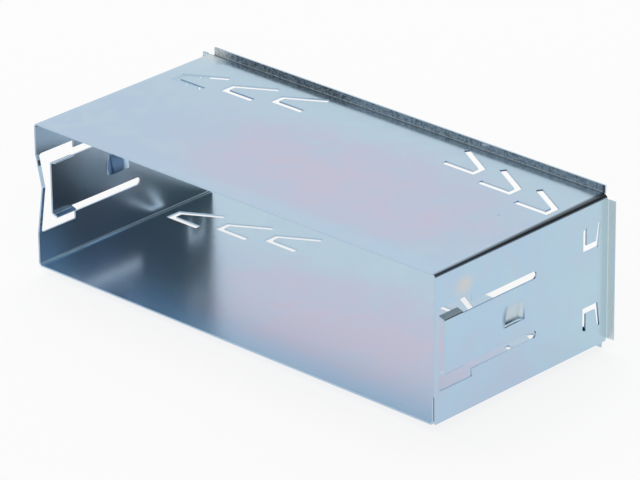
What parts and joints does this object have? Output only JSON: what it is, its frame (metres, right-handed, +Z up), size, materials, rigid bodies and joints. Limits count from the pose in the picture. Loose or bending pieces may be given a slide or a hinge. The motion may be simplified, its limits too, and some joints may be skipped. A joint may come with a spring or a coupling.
{
  "type": "car radio mounting frame",
  "caption": "Folded sheet-steel sleeve that holds a single-height car radio in the dashboard, with a front flange, bend-over fixing tabs and spring tongues with pressed catches in its sides",
  "frame": {"origin": "bottom centre of the bounding box: middle of the width and depth, at the lower edge of the bottom flange", "axes": "X across the frame, Y from the rear opening to the dashboard flange, Z up"},
  "size_m": [0.1876, 0.0842, 0.0585],
  "materials": {
    "plated_sheet": "thin sheet steel, bright zinc-plated and blue-passivated, smooth, with faint lavender, green and yellow clouds in the passivation"
  },
  "bodies": {
    "root": {"mounting_frame": "plated_sheet"}
  },
  "joints": []
}
